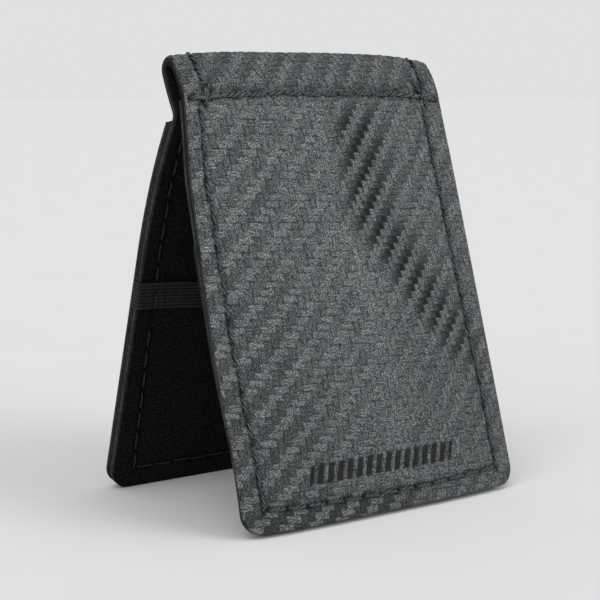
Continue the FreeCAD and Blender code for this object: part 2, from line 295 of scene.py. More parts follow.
def half_seam(foot_station, direction, seam_top, drift=((0.0, 0.0, 0.0), (0.0, 0.0, 0.0)), sag=0.0):
    """Both sides and the bottom of a half's perimeter seam.

    drift adds to each side's margin at the foot, half-way up and at the top; sag lowers the middle of the
    bottom row."""
    foot = foot_station + direction * SEAM_MARGIN
    top = foot_station + direction * seam_top
    foot_x = float(straight_half_width(foot)) - SEAM_MARGIN
    top_x = float(straight_half_width(top)) - SEAM_MARGIN
    left_end = CORNER_INSET + drift[0][0] - foot_x
    right_end = foot_x - drift[1][0] - CORNER_INSET
    stitches = []
    for x, s, ux, us, length in row((left_end, foot), (right_end, foot), ROW_STITCH):
        curve = sag * x / foot_x ** 2
        stitches.append((x, s - direction * (sag - curve * x), ux, us + direction * 2 * curve, length))
    for mirror, (low, middle, high) in zip((-1, 1), drift):
        bow = middle - (low + high) / 2
        start = (foot_x - low, foot - direction * CORNER_OVERLAP)
        for x, s, ux, us, length in row(start, (top_x - high, top)):
            share = (s - foot) / (top - foot)
            lean = 4 * bow * (1 - 2 * share) / (top - foot)
            x -= 4 * bow * share * (1 - share)
            stitches.append((mirror * x, s, mirror * (ux - lean * us), us, length))
    return stitches


def backtack(mirror):
    """Stitches sewn back over one end of the top row, and a knot of short ones on the side seam."""
    stitches = []
    for i in range(BACKTACK_STITCHES):
        from_end = TOP_ROW_END + BACKTACK_START + i * BACKTACK_PITCH
        x = mirror * (SPINE_HALF_WIDTH - from_end) + rng.normal(0, 0.25)
        s = TOP_ROW_STATION + 0.1 + rng.normal(0, 0.22)
        angle = rng.uniform(0.08, 0.26) * (1 if i % 2 else -1)
        stitches.append((x, s, math.cos(angle), math.sin(angle), STITCH_LENGTH * rng.uniform(0.9, 1.15)))
    for i in range(CROSSING_STITCHES):
        x = mirror * (SPINE_X - 0.4 + rng.normal(0, 0.7))
        s = TOP_ROW_STATION + 0.9 + rng.normal(0, 0.6)
        angle = rng.uniform(0.5, 2.2)
        stitches.append((x, s, math.cos(angle), math.sin(angle), rng.uniform(1.6, 2.6)))
    return stitches


def lay_relief(x, s, stitches, groove=GROOVE_DEPTH):
    """(height, painted shade) of the groove and holes that a seam pulls into leather, at points (x, s)."""
    height, dark = np.zeros_like(x), np.zeros_like(x)
    for cx, cs, ux, us, length in stitches:
        box = (np.abs(x - cx) < STITCH_PITCH) & (np.abs(s - cs) < STITCH_PITCH)
        if not box.any():
            continue
        dx, ds = x[box] - cx, s[box] - cs
        along, across = dx * ux + ds * us, dx * us - ds * ux
        beyond = np.maximum(np.abs(along) - STITCH_PITCH / 2, 0)
        trench = np.exp(-(np.hypot(across, beyond) / GROOVE_WIDTH) ** 2)
        hole = np.exp(-(np.hypot(across, np.abs(along) - length / 2) / HOLE_WIDTH) ** 2)
        pucker = np.exp(-(np.hypot(across, beyond) / PUCKER_WIDTH) ** 2)
        height[box] = np.minimum(height[box], -groove * trench - HOLE_DEPTH * hole - PUCKER_DEPTH * pucker)
        # painted shade: the groove, pucker and holes are darkened where shadow lies in them
        dark[box] = np.maximum(dark[box], np.maximum(0.85 * trench + 0.15 * pucker, hole))
    return height, dark


def float_lean_and_painted_sheen(x, s):
    """How the floats lie and their painted sheen: up to 1 where weft floats lean over and are painted dark,
    below 0 where the warp is painted darker.

    Wefts lean, and are painted dark as lost sheen, in a band that comes down from the spine and curves to the
    right, and a little on the spine.
    The warp is painted darkest on the left and along the free edge, and there the weft floats tilt the other
    way."""
    from_band = x - (DARK_BAND_X + DARK_BAND_SLANT * np.maximum(DARK_BAND_TURN - s, 0))
    band = np.exp(-np.abs(from_band / np.where(from_band < 0, *DARK_BAND_WIDTHS)) ** 2.6)
    band = band * within(s, DARK_BAND_SPAN)
    faint = 0.32 * smooth(x, -2.0, 14.0)
    on_spine = 0.5 * within(s, LEANING_SPINE_SPAN)
    on_left = (1 - smooth(x, -24.0, 6.0)) * (0.32 + 0.12 * (1 - smooth(s, 22.0, 60.0)))
    at_foot = 0.6 * (1 - smooth(s, 3.0, 8.0))
    beside_band = 0.2 * (1 - smooth(x, -2.0, 10.0))
    painted_dark_warp = np.maximum(np.maximum(on_left, at_foot), beside_band) * (1 - within(s, WARP_NOT_PAINTED_DARK_SPAN))
    return np.maximum(np.maximum(band, on_spine), faint) - painted_dark_warp * (1 - np.minimum(2 * band, 1))


def tows(x, s):
    """(x, station) counted in tows; the weave is a little stretched and skewed."""
    on_front = np.minimum(s, SPINE_START) - WARP_FOOT
    past_front = np.maximum(s - SPINE_START, 0)
    lean = WARP_LEAN * on_front * (on_front + 2 * past_front)
    return (x + TOW_STRETCH * x * x + lean) / TOW, (s + WEFT_SLOPE * x) / TOW


def twill(x, s):
    """Height of the 2 by 2 twill emboss: pillowed floats two tows long, stepping up to the right."""
    tow_x, tow_s = tows(x, s)
    i, j = np.floor(tow_x), np.floor(tow_s)
    u, v = tow_x - i, tow_s - j
    phase = np.mod(i - j, 4)
    weft = phase < 2
    # along a row the phase grows, so a weft float is phases 0, 1; up a column it falls, so a warp is 3, 2
    along = np.where(weft, (phase + u) / 2, (3 - phase + v) / 2)
    across = np.where(weft, v, u)
    pillow = (1 - np.abs(2 * across - 1) ** 2.6) * (1 - np.abs(2 * along - 1) ** 3.4)
    slope = np.where(weft, pillow ** 0.3 * (0.5 - along), 0.0)
    return EMBOSS * pillow + FLOAT_LEAN * float_lean_and_painted_sheen(x, s) * slope


# === materials ===

class Graph:
    """Short names for the few kinds of node that the materials use."""

    def __init__(self, name):
        self.material = bpy.data.materials.new(name)
        self.material.use_nodes = True
        self.nodes, self.links = self.material.node_tree.nodes, self.material.node_tree.links
        self.bsdf = self.nodes["Principled BSDF"]

    def node(self, kind, **settings):
        node = self.nodes.new(kind)
        for key, value in settings.items():
            setattr(node, key, value)
        return node

    def feed(self, socket, value):
        if isinstance(value, bpy.types.NodeSocket):
            self.links.new(value, socket)
        else:
            socket.default_value = value

    def math(self, operation, a, b=0.0, c=0.0):
        node = self.node("ShaderNodeMath", operation=operation)
        for socket, value in zip(node.inputs, (a, b, c)):
            self.feed(socket, value)
        return node.outputs[0]

    def choose(self, factor, a, b):
        """a where the factor is 0, b where it is 1."""
        node = self.node("ShaderNodeMix", data_type="FLOAT")
        for socket, value in zip(node.inputs[0:1] + node.inputs[2:4], (factor, a, b)):
            self.feed(socket, value)
        return node.outputs[0]

    def fade(self, value, zero_at, one_at):
        """0 where the value is at zero_at or past it, 1 at one_at."""
        node = self.node("ShaderNodeMapRange")
        for socket, setting in zip(node.inputs, (value, zero_at, one_at, 0.0, 1.0)):
            self.feed(socket, setting)
        return node.outputs[0]

    def attribute(self, name, output):
        return self.node("ShaderNodeAttribute", attribute_name=name).outputs[output]

    def scaled(self, vector, scale):
        node = self.node("ShaderNodeVectorMath", operation="MULTIPLY")
        self.feed(node.inputs[0], vector)
        node.inputs[1].default_value = scale
        return node.outputs[0]

    def noise(self, vector, scale, detail=2.0, roughness=0.5):
        node = self.node("ShaderNodeTexNoise")
        self.feed(node.inputs["Vector"], vector)
        node.inputs["Scale"].default_value = scale
        node.inputs["Detail"].default_value = detail
        node.inputs["Roughness"].default_value = roughness
        return node.outputs["Fac"]

    def ramp(self, value, stops):
        node = self.node("ShaderNodeValToRGB")
        elements = node.color_ramp.elements
        while len(elements) < len(stops):
            elements.new(0.5)
        for element, (position, colour) in zip(elements, stops):
            element.position = position
            element.color = (*colour, 1)
        self.feed(node.inputs["Fac"], value)
        return node.outputs["Color"]

    def mix(self, factor, a, b, blend="MIX"):
        node = self.node("ShaderNodeMix", data_type="RGBA", blend_type=blend)
        self.feed(node.inputs["Factor"], factor)
        self.feed(node.inputs[6], a)
        self.feed(node.inputs[7], b)
        return node.outputs[2]

    def bump(self, height, distance, strength=1.0, normal=None):
        node = self.node("ShaderNodeBump")
        node.inputs["Strength"].default_value = strength
        node.inputs["Distance"].default_value = distance
        self.feed(node.inputs["Height"], height)
        if normal is not None:
            self.feed(node.inputs["Normal"], normal)
        return node.outputs["Normal"]

    def finish(self, colour, normal, roughness, specular=0.5):
        self.feed(self.bsdf.inputs["Base Color"], colour)
        self.feed(self.bsdf.inputs["Normal"], normal)
        self.feed(self.bsdf.inputs["Roughness"], roughness)
        self.bsdf.inputs["Specular IOR Level"].default_value = specular
        return self.material


def grip_material():
    """Embossed synthetic sheet: weft and warp floats of different tone with painted sheen, soft creases with
    painted shade, a grainy skin, and a foot painted darker as shade.
    """
    g = Graph("grip_sheet")
    flat = g.attribute("flat", "Vector")
    place_on_sheet, woven = g.node("ShaderNodeSeparateXYZ"), g.node("ShaderNodeSeparateXYZ")
    g.feed(place_on_sheet.inputs[0], flat)
    g.feed(woven.inputs[0], g.attribute("tows", "Vector"))
    tow_x, tow_s = woven.outputs[0], woven.outputs[1]
    part_x, part_s = g.math("FRACT", tow_x), g.math("FRACT", tow_s)
    count_x, count_s = g.math("FLOOR", tow_x), g.math("FLOOR", tow_s)
    phase = g.math("FLOORED_MODULO", g.math("SUBTRACT", count_x, count_s), 4.0)
    weft = g.math("LESS_THAN", phase, 2.0)

    step = g.choose(weft, g.math("SUBTRACT", 3.0, phase), phase)
    # both squares of a float share one number, so that each float has its own tone
    which = g.node("ShaderNodeCombineXYZ")
    g.feed(which.inputs[0], g.math("SUBTRACT", count_x, g.choose(weft, 0.0, step)))
    g.feed(which.inputs[1], g.math("SUBTRACT", count_s, g.choose(weft, step, 0.0)))
    g.feed(which.inputs[2], weft)
    chance = g.node("ShaderNodeTexWhiteNoise")
    g.feed(chance.inputs["Vector"], which.outputs[0])
    own_tone = g.math("ADD", 0.86, g.math("MULTIPLY", chance.outputs["Value"], 0.28))
    along = g.math("MULTIPLY", g.math("ADD", step, g.choose(weft, part_s, part_x)), 0.5)
    across = g.choose(weft, part_x, part_s)
    to_end = g.math("MULTIPLY", g.math("MINIMUM", along, g.math("SUBTRACT", 1.0, along)), 2.0)
    to_side = g.math("MINIMUM", across, g.math("SUBTRACT", 1.0, across))
    painted_crease_shade = g.fade(g.math("MINIMUM", to_end, to_side), 0.2, 0.0)

    weft_fibre = g.noise(g.scaled(flat, (0.7, 6.0, 0.0)), 1.0, 2.0)
    warp_fibre = g.noise(g.scaled(flat, (6.0, 0.7, 0.0)), 1.0, 2.0)
    fibre = g.choose(weft, warp_fibre, weft_fibre)
    surface = g.scaled(flat, (1.0, 1.0, 0.0))
    grain = g.noise(surface, 2.9, 2.0, 0.85)
    blotch = g.noise(surface, 0.13, 3.0, 0.6)
    crease_shade_patches = g.noise(surface, 0.7, 2.0, 0.6)
    skin = g.math("ADD", g.math("MULTIPLY", grain, 0.8), g.math("MULTIPLY", fibre, 0.2))
    pits, ground, crests = (0.008, 0.0085, 0.009), (0.095, 0.102, 0.105), (0.38, 0.4, 0.4)
    colour = g.ramp(skin, [(0.36, pits), (0.5, ground), (0.64, crests)])
    bluish, plain, greenish = (0.84, 0.86, 0.96), (1.0, 1.0, 1.0), (0.86, 0.98, 0.94)
    tint = g.ramp(blotch, [(0.3, bluish), (0.5, plain), (0.7, greenish)])
    colour = g.mix(1.0, colour, tint, "MULTIPLY")
    # painted sheen: a leaning weft is painted darkest at its right end, for the reflection it misses;
    # elsewhere the warp is painted the darker one
    lean = g.attribute("lean", "Fac")
    painted_sheen_loss, painted_warp_sheen_loss = g.math("MAXIMUM", lean, 0.0), g.math("MINIMUM", lean, 0.0)
    right_end = g.math("ADD", 0.55, g.math("MULTIPLY", g.fade(along, 0.0, 0.6), 0.38))
    weft_painted_sheen = g.math("SUBTRACT", 1.0, g.math("MULTIPLY", painted_sheen_loss, right_end))
    painted_sheen_beside_band = g.math("SUBTRACT", 1.0, g.math("MULTIPLY", painted_sheen_loss, 0.2))
    warp_painted_sheen = g.math("ADD", painted_sheen_beside_band, g.math("MULTIPLY", painted_warp_sheen_loss, 1.1))
    tone_and_painted_sheen = g.math("MULTIPLY", own_tone, g.choose(weft, warp_painted_sheen, weft_painted_sheen))
    colour = g.mix(1.0, colour, tone_and_painted_sheen, "MULTIPLY")
    # painted shade: the foot of the front half is painted a little darker, against the light the floor throws
    # up at it
    painted_shade_at_foot = g.choose(g.fade(place_on_sheet.outputs[1], 0.0, 50.0), 0.78, 1.0)
    colour = g.mix(1.0, colour, painted_shade_at_foot, "MULTIPLY")
    # painted shade in the creases at the floats' ends and sides, in random patches
    painted_crease_shade = g.math("MULTIPLY", painted_crease_shade, g.fade(crease_shade_patches, 0.43, 0.58))
    colour = g.mix(painted_crease_shade, colour, (0.02, 0.022, 0.023, 1))
    # painted shade in the seam grooves and holes and along the pressed panel line; the pressed mark's blocks
    # are dark
    colour = g.mix(g.attribute("dark", "Fac"), colour, (0.009, 0.009, 0.01, 1))
    normal = g.bump(fibre, 0.00006, 0.8)
    normal = g.bump(grain, 0.00016, 0.8, normal)
    return g.finish(colour, normal, 0.55, 0.1)


def suede_material():
    g = Graph("lining_suede")
    flat = g.attribute("flat", "Vector")
    nap = g.noise(flat, 2.2, 4.0, 0.85)
    patches = g.noise(flat, 0.2, 3.0, 0.6)
    colour = g.ramp(nap, [(0.48, (0.0002, 0.0002, 0.0002)), (0.64, (0.044, 0.034, 0.031))])
    colour = g.mix(g.math("MULTIPLY", patches, 0.5), colour, (0.0016, 0.0013, 0.0012, 1))
    # painted shade in the seam's grooves and holes
    colour = g.mix(g.attribute("dark", "Fac"), colour, (0.002, 0.002, 0.002, 1))
    g.bsdf.inputs["Sheen Weight"].default_value = 0.03
    g.bsdf.inputs["Sheen Roughness"].default_value = 0.6
    return g.finish(colour, g.bump(nap, 0.00012, 0.8), 0.95, 0.05)


def pocket_material():
    g = Graph("pocket_leather")
    flat = g.attribute("flat", "Vector")
    cells = g.node("ShaderNodeTexVoronoi", feature="DISTANCE_TO_EDGE")
    g.feed(cells.inputs["Vector"], flat)
    cells.inputs["Scale"].default_value = 1.5
    creases = g.math("MINIMUM", cells.outputs["Distance"], 0.25)
    grain = g.noise(flat, 5.0, 4.0, 0.7)
    colour = g.ramp(grain, [(0.3, (0.009, 0.0088, 0.009)), (0.75, (0.03, 0.0295, 0.03))])
    # painted shade in the seam's grooves and holes
    colour = g.mix(g.attribute("dark", "Fac"), colour, (0.003, 0.003, 0.003, 1))
    normal = g.bump(creases, 0.0004, 0.5)
    normal = g.bump(grain, 0.00005, 0.6, normal)
    return g.finish(colour, normal, 0.58, 0.4)


def cut_edge_material(name, fibre_colour):
    """The fuzzy raw edge of a layer, with painted shade where it meets the next one and on the layer's unseen
    side.
    """
    g = Graph(name)
    flat = g.attribute("flat", "Vector")
    fuzz = g.noise(g.scaled(flat, (5.0, 2.4, 6.0)), 1.0, 3.0, 0.7)
    long = g.noise(g.scaled(flat, (0.3, 0.2, 0.0)), 1.0, 3.0, 0.6)
    colour = g.ramp(fuzz, [(0.36, (0.003, 0.003, 0.0035)), (0.62, fibre_colour)])
    colour = g.mix(g.fade(long, 0.4, 0.75), colour, (0.01, 0.01, 0.011, 1))
    # painted shade down the edge and on the unseen side, from the dark attribute
    colour = g.mix(g.attribute("dark", "Fac"), colour, (0.0025, 0.0025, 0.003, 1))
    return g.finish(colour, g.bump(fuzz, 0.00025, 0.9), 0.85, 0.2)


def elastic_material():
    g = Graph("elastic_webbing")
    flat = g.attribute("flat", "Vector")
    fuzz = g.noise(g.scaled(flat, (5.0, 3.0, 1.0)), 1.0, 4.0, 0.8)
    picks = g.noise(g.scaled(flat, (2.6, 0.2, 0.0)), 1.0, 1.0)
    rough = g.math("ADD", g.math("MULTIPLY", picks, 0.4), g.math("MULTIPLY", fuzz, 0.6))
    colour = g.ramp(rough, [(0.35, (0.007, 0.006, 0.0055)), (0.65, (0.06, 0.051, 0.048))])
    # painted shade between the ribs and under the stitches
    colour = g.mix(g.attribute("dark", "Fac"), colour, (0.0015, 0.0012, 0.0012, 1))
    return g.finish(colour, g.bump(rough, 0.00012, 0.8), 0.85, 0.2)


def thread_material(name, dark, light):
    g = Graph(name)
    flat = g.attribute("flat", "Vector")
    fibres = g.noise(g.scaled(flat, (1.2, 14.0, 1.0)), 1.0, 3.0, 0.6)
    colour = g.ramp(fibres, [(0.3, dark), (0.75, light)])
    # painted shade between the plies and at the sunk ends
    colour = g.mix(g.attribute("dark", "Fac"), colour, (0.004, 0.004, 0.005, 1))
    return g.finish(colour, g.bump(fibres, 0.00004, 0.7), 0.6, 0.45)


GRIP = grip_material()
SUEDE = suede_material()
POCKET = pocket_material()
EDGE = cut_edge_material("cut_edge", (0.17, 0.178, 0.188))
DARK_EDGE = cut_edge_material("dark_cut_edge", (0.03, 0.03, 0.033))
ELASTIC = elastic_material()
OUTER_THREAD = thread_material("outer_thread", (0.025, 0.028, 0.031), (0.17, 0.183, 0.195))
INNER_THREAD = thread_material("inner_thread", (0.012, 0.012, 0.013), (0.06, 0.061, 0.064))


# === mesh helpers ===

def mesh_object(name, points, faces, flat, materials, face_slots=None, corner_normals=None, **details):
    """A mesh object with the developed coordinates, in mm, as the attribute flat, and any further details."""
    mesh = bpy.data.meshes.new(name)
    mesh.from_pydata(points.tolist(), [], faces)
    for material in materials:
        mesh.materials.append(material)
    if face_slots is not None:
        mesh.polygons.foreach_set("material_index", np.asarray(face_slots, np.int32))
    mesh.polygons.foreach_set("use_smooth", np.ones(len(faces), bool))
    for attribute, values in {"flat": flat, **details}.items():
        kind, key = ("FLOAT_VECTOR", "vector") if values.ndim == 2 else ("FLOAT", "value")
        layer = mesh.attributes.new(attribute, kind, "POINT")
        layer.data.foreach_set(key, values.astype(np.float32).ravel())
    if corner_normals is not None:
        mesh.normals_split_custom_set(corner_normals.tolist())
    mesh.update()
    obj = bpy.data.objects.new(name, mesh)
    bpy.context.collection.objects.link(obj)
    return obj


def stations_between(first, last, step, free_ends, hidden):
    """Mesh rows: multiples of step, fine at free ends and round free corners, sparse where hidden."""
    steps = np.arange(math.ceil(first / step), math.floor(last / step) + 1)
    seen = (steps * step < hidden[0]) | (steps * step > hidden[1]) | (steps % 8 == 0)
    rows = set(np.round(steps[seen] * step, 5))
    rows |= {round(first, 5), round(last, 5)}
    for end in free_ends:
        rows |= {round(end + sign * r, 5) for r in RIM_STEPS for sign in (-1, 1)}
    for turn in np.radians(np.arange(2.0, 90.0, 5.0)):
        low = CORNER_RADIUS * (1 - math.cos(turn))
        rows |= {round(low, 5), round(PATH_END - low, 5)}
    rows = sorted(r for r in rows if first - 1e-6 <= r <= last + 1e-6)
    kept = [rows[0]]
    for r in rows[1:]:
        if r - kept[-1] > CLOSEST_ROWS:
            kept.append(r)
    kept[-1] = rows[-1]
    return np.array(kept)


def layer_piece(name, first, last, face, thickness, side, relief, step, free_ends, materials,
                insets=(0.0, 0.0), hidden=(0.0, 0.0)):
    """A leather layer as a closed slab with its relief on the visible face.

    side is -1 where that face looks outwards and +1 where it looks into the fold; relief gives (height,
    painted shade) in mm at (x, station). An end that isn't free is a cut across the spine, left open, where
    the next piece carries on with the same surface and normals."""
    stations = stations_between(first, last, step, free_ends, hidden)
    open_start = not any(abs(first - e) < 1e-6 for e in free_ends)
    open_end = not any(abs(last - e) < 1e-6 for e in free_ends)
    if open_start:
        stations = np.insert(stations, 0, first - step)
    if open_end:
        stations = np.append(stations, last + step)

    columns = np.arange(0, math.floor((BOTTOM_HALF_WIDTH - RIM_STEPS[-1] - step * 0.4) / step) + 1) * step
    columns = np.concatenate([columns, BOTTOM_HALF_WIDTH - np.array(RIM_STEPS[::-1])])
    columns = np.concatenate([-columns[:0:-1], columns])
    s = stations[:, None]
    # a layer is trimmed back by the first inset at the front bottom edge, easing to the second higher up
    inset = np.interp(s, (0.0, INSET_END), insets)
    edge = half_width(s) - inset
    hold = edge - OUTER_ZONE
    size = np.abs(columns)[None, :]
    squeezed = hold + (size - hold) * (edge - hold) / (BOTTOM_HALF_WIDTH - hold)
    x = np.sign(columns) * np.where(size < hold, size, squeezed)
    s_grid = np.broadcast_to(s, x.shape)
    away = np.maximum(edge_distance(x, s_grid, free_ends) - inset, 0)
    rim = np.maximum(RIM_ROUNDING - away, 0)
    height, dark = relief(x, s_grid)
    fade = np.clip(away / RELIEF_FADE, 0, 1)
    height = height * fade - (RIM_ROUNDING - np.sqrt(np.maximum(RIM_ROUNDING ** 2 - rim ** 2, 0)))

    wobble = np.cumsum(rng.normal(0, 0.012, (len(stations), 2)), 0)
    wobble = 0.05 * np.sin(wobble * 9 + rng.uniform(0, 6, 2)) + rng.normal(0, 0.012, (len(stations), 2))
    walls = []
    for share, back, shade in WALL_STEPS:
        level = -RIM_ROUNDING - share * (thickness - RIM_ROUNDING)
        walls.append((edge[:, 0] - back, np.full(len(stations), level), share, shade))
    left_x = np.stack([-(w[0] + wobble[:, 0] * (1 - w[2])) for w in walls[::-1]], 1)
    right_x = np.stack([w[0] + wobble[:, 1] * (1 - w[2]) for w in walls], 1)
    left_h = np.stack([w[1] for w in walls[::-1]], 1)
    right_h = np.stack([w[1] for w in walls], 1)
    # the unseen side, from right to left, bends with the face
    back_x = right_x[:, -1:] * np.linspace(1, -1, BACK_COLUMNS)[1:-1]
    back_h = np.broadcast_to(right_h[:, -1:], back_x.shape)
    ring_x = np.concatenate([left_x, x, right_x, back_x], 1)
    ring_h = np.concatenate([left_h, height, right_h, back_h], 1)
    # painted shade: the walls take their darkness from WALL_STEPS, and the unseen side is painted fully dark
    wall_dark = np.tile([w[3] for w in walls], (len(stations), 1))
    ring_dark = np.concatenate([wall_dark[:, ::-1], dark, wall_dark, np.ones(back_x.shape)], 1)
    ring_s = np.broadcast_to(s, ring_x.shape)
    points = place(ring_x, ring_s, face + side * ring_h)

    rows, ring = ring_x.shape
    middle = len(WALL_STEPS) + x.shape[1] // 2
    index = np.arange(rows * ring).reshape(rows, ring)
    after = np.roll(index, -1, 1)
    quads = np.stack([index[:-1], after[:-1], after[1:], index[1:]], -1)
    if side > 0:
        quads = quads[..., ::-1]
    corner = points.reshape(-1, 3)[quads]
    facing = np.cross(corner[..., 2, :] - corner[..., 0, :], corner[..., 3, :] - corner[..., 1, :])
    normals = np.zeros((rows * ring, 3))
    for k in range(4):
        np.add.at(normals, quads[..., k].ravel(), facing.reshape(-1, 3))
    normals /= np.linalg.norm(normals, axis=1, keepdims=True) + 1e-20

    low, high = int(open_start), rows - int(open_end)
    kept = quads[low:high - 1].reshape(-1, 4) - low * ring
    segment_slots = np.ones(ring, int)
    segment_slots[len(WALL_STEPS):len(WALL_STEPS) + x.shape[1] - 1] = 0
    slots = np.tile(segment_slots, high - low - 1)
    faces = kept.tolist()
    corner_normals = normals[(kept + low * ring).ravel()]
    slots = slots.tolist()
    for is_open, line, flip in ((open_start, 0, side < 0), (open_end, high - low - 1, side > 0)):
        if is_open:
            continue
        cap = list(range(line * ring, (line + 1) * ring))
        cap = cap[::-1] if not flip else cap
        faces.append(cap)
        slots.append(1)
        along = points[min(line + low + 1, rows - 1), middle] - points[max(line + low - 1, 0), middle]
        outward = along / np.linalg.norm(along) * (-1 if line == 0 else 1)
        corner_normals = np.concatenate([corner_normals, np.tile(outward, (ring, 1))])
    body = slice(low * ring, high * ring)
    flat = np.stack([ring_x, ring_s, ring_h], -1).reshape(-1, 3)[body]
    woven = np.stack([*tows(flat[:, 0], flat[:, 1]), flat[:, 2]], -1)
    # the attribute lean holds how the floats lean, which also sets their painted sheen
    return mesh_object(name, points.reshape(-1, 3)[body], faces, flat, materials, slots, corner_normals,
                       dark=ring_dark.ravel()[body], lean=float_lean_and_painted_sheen(flat[:, 0], flat[:, 1]), tows=woven)


def thread_object(name, stitches, face, side, material, rise=THREAD_RISE, size=1.0, rings=22, sides=7):
    """Two-ply stitches lying on a surface, with their ends sunk in the holes."""
    points, faces, flats, darks = [], [], [], []
    share = np.linspace(0, 1, rings)
    turn = np.arange(sides) * 2 * math.pi / sides
    for x, s, ux, us, length in stitches:
        twist_start = rng.uniform(0, 2 * math.pi)
        lift = rng.normal(0, 0.03)
        bow = rng.normal(0, 0.05)
        twist_length = TWIST_LENGTH * rng.uniform(0.8, 1.7)
        along = (share - 0.5) * length
        arch = 1 - np.abs(2 * share - 1) ** 5
        height = -THREAD_DIVE + (THREAD_DIVE + rise + lift) * arch
        side_bow = bow * np.sin(share * math.pi)
        for ply in (0, math.pi):
            twist = twist_start + ply + along / twist_length * 2 * math.pi
            off_side = side_bow + size * PLY_OFFSET * np.cos(twist)
            off_up = height + size * PLY_OFFSET * np.sin(twist)
            thin = size * PLY_RADIUS * (0.75 + 0.25 * arch)
            ring_side = off_side[:, None] + thin[:, None] * np.cos(turn)
            ring_up = off_up[:, None] + thin[:, None] * np.sin(turn)
            px = x + ux * along[:, None] + us * ring_side
            ps = s + us * along[:, None] - ux * ring_side
            first = len(points) * rings * sides
            points.append(place(px, ps, face + side * ring_up).reshape(-1, 3))
            flats.append(np.stack([np.broadcast_to(along[:, None] + 7 * x, px.shape),
                                   np.broadcast_to(turn, px.shape), px * 0 + 3 * s], -1).reshape(-1, 3))
            # painted shade in the crevice between the two plies and at the ends, where the thread sinks into
            # its holes
            crevice = smooth(-np.cos(turn[None, :] - twist[:, None]), -0.35, 0.5)
            darks.append(np.maximum(crevice, 1 - smooth(arch, 0.2, 0.9)[:, None]).ravel())
            grid = first + np.arange(rings * sides).reshape(rings, sides)
            after = np.roll(grid, -1, 1)
            quads = np.stack([grid[:-1], grid[1:], after[1:], after[:-1]], -1).reshape(-1, 4)
            if side > 0:
                quads = quads[:, ::-1]
            faces += quads.tolist()
            faces += [grid[0].tolist() if side < 0 else grid[0][::-1].tolist()]
            faces += [grid[-1][::-1].tolist() if side < 0 else grid[-1].tolist()]
    return mesh_object(name, np.concatenate(points), faces, np.concatenate(flats), [material],
                       dark=np.concatenate(darks))


# === where the stitches are ===

FRONT_SEAM_DRIFT = ((0.1, -0.6, -1.4), (0.3, 0.5, 1.0))
FRONT_SEAM_SAG = 0.9
front_seam = half_seam(0.0, 1, TOP_ROW_STATION - ROW_GAP, FRONT_SEAM_DRIFT, FRONT_SEAM_SAG)
row_x = SPINE_HALF_WIDTH - TOP_ROW_END
top_row = row((-row_x, TOP_ROW_STATION), (row_x, TOP_ROW_STATION), ROW_STITCH)
tacks = {"left": backtack(-1), "right": backtack(1)}
card_seam = half_seam(0.0, 1, FRONT_CARD_POCKET_HEIGHT - MOUTH_GAP)
top_drift = REAR_SEAM_TOP_MARGIN - SEAM_MARGIN
rear_drift = ((0.1, top_drift / 2, top_drift),) * 2
rear_pocket_seam = half_seam(PATH_END, -1, REAR_LOWER_POCKET_HEIGHT - MOUTH_GAP, rear_drift)
rear_seam = half_seam(PATH_END, -1, REAR_HEIGHT - NECK_GAP, rear_drift)

strip_edges = STRIP_ENDS + [SPINE_SEAM_END]
spine_seams = []
for first, last in zip(strip_edges, strip_edges[1:]):
    count = max(1, int((last - first) / STITCH_PITCH))
    share = (last - first) / count
    length = min(STITCH_LENGTH, 0.7 * share)
    spine_seams.append([(mirror * SPINE_X, SPINE_START + first + share * (k + 0.5), 0.0, 1.0, length)
                        for mirror in (-1, 1) for k in range(count)])
link_seam = [(mirror * SPINE_X, SPINE_START - 0.4, 0.0, 1.0, 3.6) for mirror in (-1, 1)]

# the base panel's upper edge presses a line through the shell, just above the top row
panel_line = row((2 - SPINE_X, PANEL_TOP + 1.0), (SPINE_X - 2, PANEL_TOP + 1.0))
outer_stitches = front_seam + top_row + tacks["left"] + tacks["right"] + sum(spine_seams, []) + link_seam


def blank_mark(x, s):
    """1 inside the row of plain slanted blocks pressed low on the front, 0 outside."""
    along = x - MARK_MIDDLE[0] - (s - MARK_MIDDLE[1]) * MARK_SLANT
    inside = np.minimum(MARK_SIZE[0] / 2 - np.abs(along), MARK_SIZE[1] / 2 - np.abs(s - MARK_MIDDLE[1]))
    in_block = MARK_BLOCK / 2 - np.abs(np.mod(along, MARK_PITCH) - MARK_PITCH / 2)
    return np.clip(np.minimum(inside, in_block) / 0.25, 0, 1)


def embossed(stitches, presses=(), mark=False):
    """Relief of the embossed sheet under the given seams."""
    def relief(x, s):
        height, dark = lay_relief(x, s, stitches)
        pressed, shade = lay_relief(x, s, presses, 0.12) if presses else (0.0, 0.0)
        patchy = 0.8 + 0.3 * np.sin(x * 1.3 + 2 * np.sin(s * 0.7)) * np.sin(s * 1.1 + np.sin(x * 0.9))
        weave = twill(x, s) * (1 - 0.6 * np.clip(dark, 0, 1))
        swell = 0.06 * np.sin(x * 0.31 + 0.5) * np.sin(s * 0.22)
        height = weave + (height + 0.6 * pressed) * patchy + swell
        blank = blank_mark(x, s) if mark else 0.0
        shadow = np.clip(0.85 * dark * patchy + 0.45 * shade * patchy, 0, 1)
        return height * (1 - 0.75 * blank) - MARK_DEPTH * blank, np.maximum(shadow, 0.93 * blank)
    return relief


def soft(stitches, waviness=0.05):
    """Relief of a smooth soft layer, puckered by its seam."""
    def relief(x, s):
        height, dark = lay_relief(x, s, stitches, 0.3)
        wave = waviness * np.sin(x * 0.24 + 1) * np.sin(s * 0.17 + 0.4)
        return height + wave, 0.8 * dark
    return relief


# === the shell and its lining, cut in the middle of each strip so that each piece holds one joint ===

joints = STRIP_ENDS + [NECK_HINGE]
cuts = [(a + b) / 2 for a, b in zip(joints, joints[1:])]

